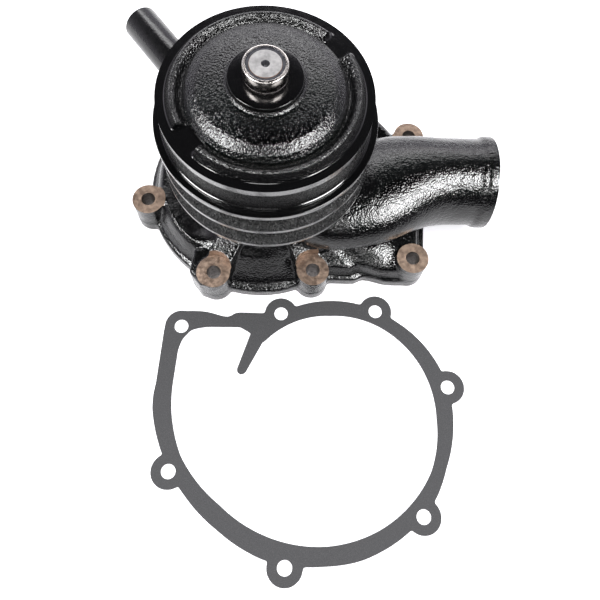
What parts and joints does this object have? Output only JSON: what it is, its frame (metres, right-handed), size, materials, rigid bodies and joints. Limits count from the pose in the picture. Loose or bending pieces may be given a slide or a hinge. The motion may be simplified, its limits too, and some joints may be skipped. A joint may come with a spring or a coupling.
{
  "type": "water pump",
  "caption": "Belt-driven engine coolant pump: volute housing with hose inlet and bypass tube, grooved pulley on a ball-bearing shaft, sealed impeller, loose gasket.",
  "frame": {"origin": "on the shaft axis, in the plane of the rear mounting face", "axes": "+Z along the shaft towards the pulley, +X towards the large hose inlet, +Y away from the loose gasket"},
  "size_m": [0.2849, 0.4287, 0.1683],
  "materials": {
    "painted_casting": "gloss black paint over cast texture",
    "painted_tube": "gloss black paint",
    "ground_steel": "ground",
    "bearing_steel": "polished",
    "impeller_iron": "as cast",
    "cage_polymer": "moulded",
    "ceramic": "lapped ceramic",
    "carbon": "lapped carbon",
    "seal_rubber": "moulded rubber",
    "gasket_fibre": "pressed fibre sheet"
  },
  "bodies": {
    "housing": {"pump_housing": "painted_casting", "bypass_tube": "painted_tube", "rear_bearing_outer_ring": "bearing_steel", "front_bearing_outer_ring": "bearing_steel", "bearing_circlip": "bearing_steel", "seal_case": "ground_steel", "seal_spring": "ground_steel", "seal_bellows": "seal_rubber", "carbon_ring": "carbon"},
    "rotor": {"shaft": "ground_steel", "pulley": "painted_casting", "impeller": "impeller_iron", "bearing_spacer": "ground_steel", "water_slinger": "ground_steel", "rear_bearing_inner_ring": "bearing_steel", "front_bearing_inner_ring": "bearing_steel", "ceramic_seat": "ceramic", "seat_cup": "seal_rubber"},
    "rear_ball_set": {"rear_bearing_cage": "cage_polymer", "rear_bearing_ball_1": "bearing_steel", "rear_bearing_ball_2": "bearing_steel", "rear_bearing_ball_3": "bearing_steel", "rear_bearing_ball_4": "bearing_steel", "rear_bearing_ball_5": "bearing_steel", "rear_bearing_ball_6": "bearing_steel", "rear_bearing_ball_7": "bearing_steel"},
    "front_ball_set": {"front_bearing_cage": "cage_polymer", "front_bearing_ball_1": "bearing_steel", "front_bearing_ball_2": "bearing_steel", "front_bearing_ball_3": "bearing_steel", "front_bearing_ball_4": "bearing_steel", "front_bearing_ball_5": "bearing_steel", "front_bearing_ball_6": "bearing_steel", "front_bearing_ball_7": "bearing_steel"},
    "gasket": {"gasket": "gasket_fibre"}
  },
  "joints": [
    {"name": "shaft_spin", "type": "hinge", "parent": "housing", "child": "rotor", "pos_m": [0, 0, 0], "axis": [0, 0, 1], "continuous": true},
    {"name": "rear_cage_spin", "type": "hinge", "parent": "housing", "child": "rear_ball_set", "pos_m": [0, 0, 0.0835], "axis": [0, 0, 1], "continuous": true},
    {"name": "front_cage_spin", "type": "hinge", "parent": "housing", "child": "front_ball_set", "pos_m": [0, 0, 0.1125], "axis": [0, 0, 1], "continuous": true},
    {"name": "gasket_lift", "type": "slide", "parent": "housing", "child": "gasket", "axis": [0, 0, 1], "range_m": [0, 0.03]}
  ],
  "couplings": [
    {"joint": "rear_cage_spin", "follows": "shaft_spin", "ratio": 0.378},
    {"joint": "front_cage_spin", "follows": "shaft_spin", "ratio": 0.378}
  ]
}
